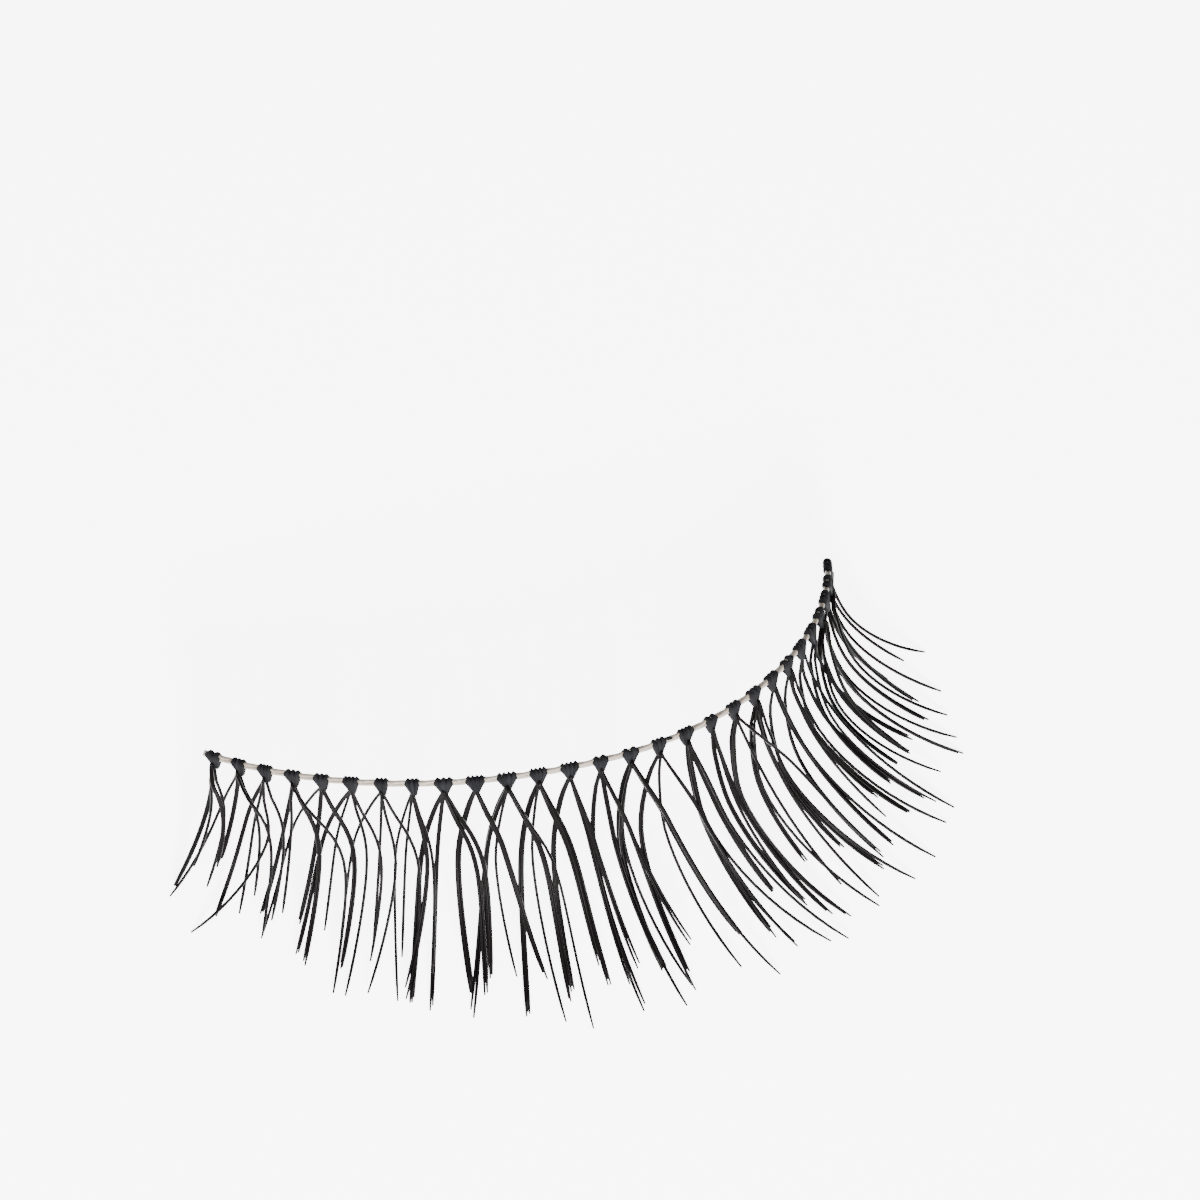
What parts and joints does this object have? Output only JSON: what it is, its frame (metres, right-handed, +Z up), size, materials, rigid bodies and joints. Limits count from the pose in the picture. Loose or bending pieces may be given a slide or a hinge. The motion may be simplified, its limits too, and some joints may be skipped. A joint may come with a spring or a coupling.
{
  "type": "false eyelash strip",
  "caption": "Thread-banded false eyelash strip with tied, crossing clusters of tapered lashes, standing on its tips with the band on top.",
  "frame": {"origin": "centre of the bounding box at the surface that the lash tips stand on", "axes": "+X from the inner corner to the outer corner, +Y to the eyelid side behind the band, +Z up from the lash tips to the band"},
  "size_m": [0.0296, 0.019, 0.0076],
  "materials": {
    "lash_hair": "near-black semi-gloss synthetic hair",
    "band_thread": "fine translucent off-white thread"
  },
  "bodies": {
    "root": {"band": "band_thread", "lash_cluster_01": "lash_hair", "lash_cluster_02": "lash_hair", "lash_cluster_03": "lash_hair", "lash_cluster_04": "lash_hair", "lash_cluster_05": "lash_hair", "lash_cluster_06": "lash_hair", "lash_cluster_07": "lash_hair", "lash_cluster_08": "lash_hair", "lash_cluster_09": "lash_hair", "lash_cluster_10": "lash_hair", "lash_cluster_11": "lash_hair", "lash_cluster_12": "lash_hair", "lash_cluster_13": "lash_hair", "lash_cluster_14": "lash_hair", "lash_cluster_15": "lash_hair", "lash_cluster_16": "lash_hair", "lash_cluster_17": "lash_hair", "lash_cluster_18": "lash_hair", "lash_cluster_19": "lash_hair", "lash_cluster_20": "lash_hair", "lash_cluster_21": "lash_hair", "lash_cluster_22": "lash_hair", "lash_cluster_23": "lash_hair", "lash_cluster_24": "lash_hair", "lash_cluster_25": "lash_hair", "lash_cluster_26": "lash_hair", "lash_cluster_27": "lash_hair", "lash_cluster_28": "lash_hair"}
  },
  "joints": []
}
